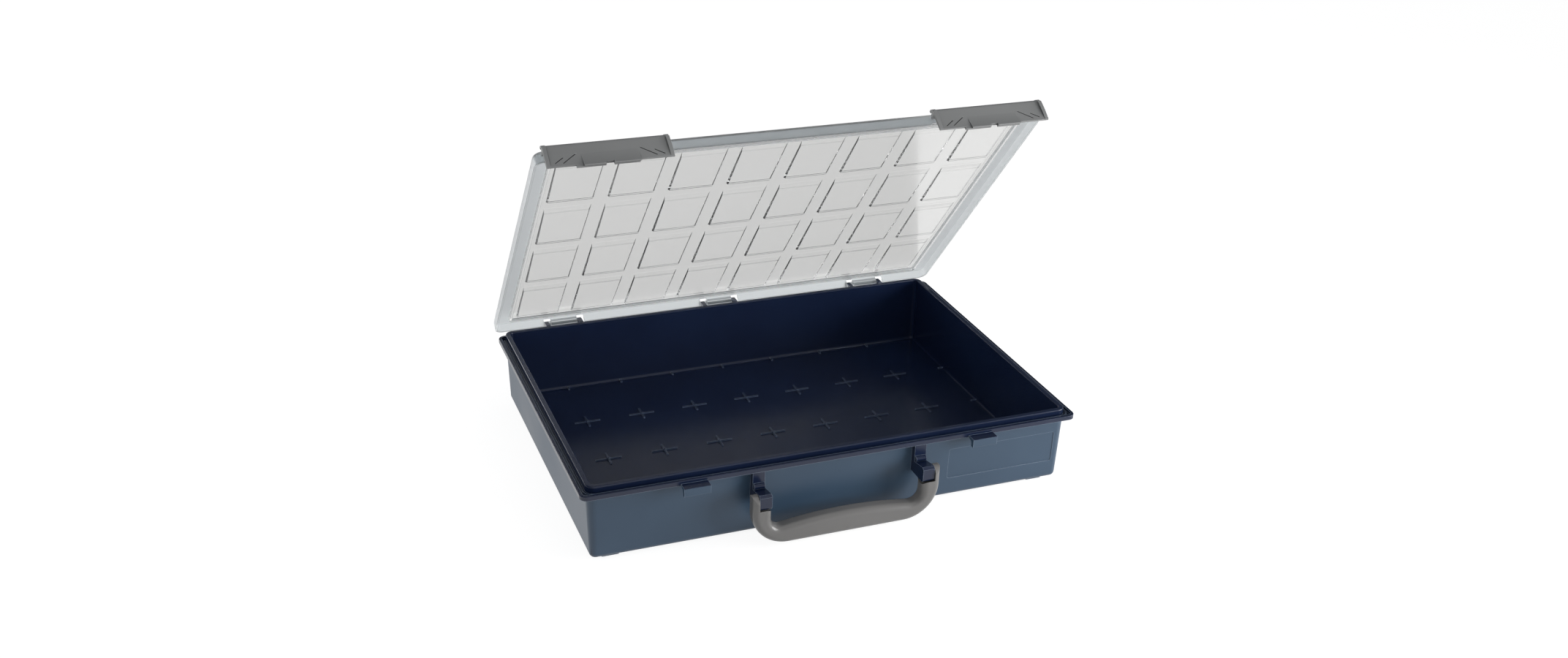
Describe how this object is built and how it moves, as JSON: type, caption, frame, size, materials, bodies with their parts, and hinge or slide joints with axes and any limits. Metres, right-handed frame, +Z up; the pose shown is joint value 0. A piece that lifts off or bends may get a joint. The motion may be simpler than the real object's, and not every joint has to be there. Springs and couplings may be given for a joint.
{
  "type": "saw blade storage case",
  "caption": "Shallow moulded storage case with a clear hinged lid, snap latches along its front edge and a folding carrying handle.",
  "frame": {"origin": "middle of the open case's box, on the plane of its feet", "axes": "+X to the right seen from the front, along the case's longer side; +Y from the handle side to the hinge side; +Z up"},
  "size_m": [0.338, 0.2569, 0.2421],
  "materials": {
    "tray_plastic": "dark blue polypropylene, satin moulded surface",
    "lid_plastic": "clear polycarbonate, polished",
    "latch_plastic": "mid grey moulded plastic, satin",
    "handle_plastic": "warm grey moulded plastic, semi gloss",
    "pin_steel": "drawn steel wire, cut to length"
  },
  "bodies": {
    "tray": {"tray": "tray_plastic", "hinge_pin_left": "pin_steel", "hinge_pin_middle": "pin_steel", "hinge_pin_right": "pin_steel"},
    "lid": {"lid": "lid_plastic"},
    "latch_left": {"latch_left": "latch_plastic"},
    "latch_right": {"latch_right": "latch_plastic"},
    "handle": {"handle": "handle_plastic"}
  },
  "joints": [
    {"name": "lid_hinge", "type": "hinge", "parent": "tray", "child": "lid", "pos_m": [0, 0.12545, 0.0512], "axis": [-1, 0, 0], "range_deg": [-49.4, 62]},
    {"name": "latch_left_hinge", "type": "hinge", "parent": "lid", "child": "latch_left", "pos_m": [-0.12625, -0.03209, 0.23885], "axis": [-1, 0, 0], "range_deg": [-6, 66]},
    {"name": "latch_right_hinge", "type": "hinge", "parent": "lid", "child": "latch_right", "pos_m": [0.12625, -0.03209, 0.23885], "axis": [-1, 0, 0], "range_deg": [-6, 66]},
    {"name": "handle_hinge", "type": "hinge", "parent": "tray", "child": "handle", "pos_m": [0, -0.12325, 0.0329], "axis": [-1, 0, 0], "range_deg": [-6, 105]}
  ]
}
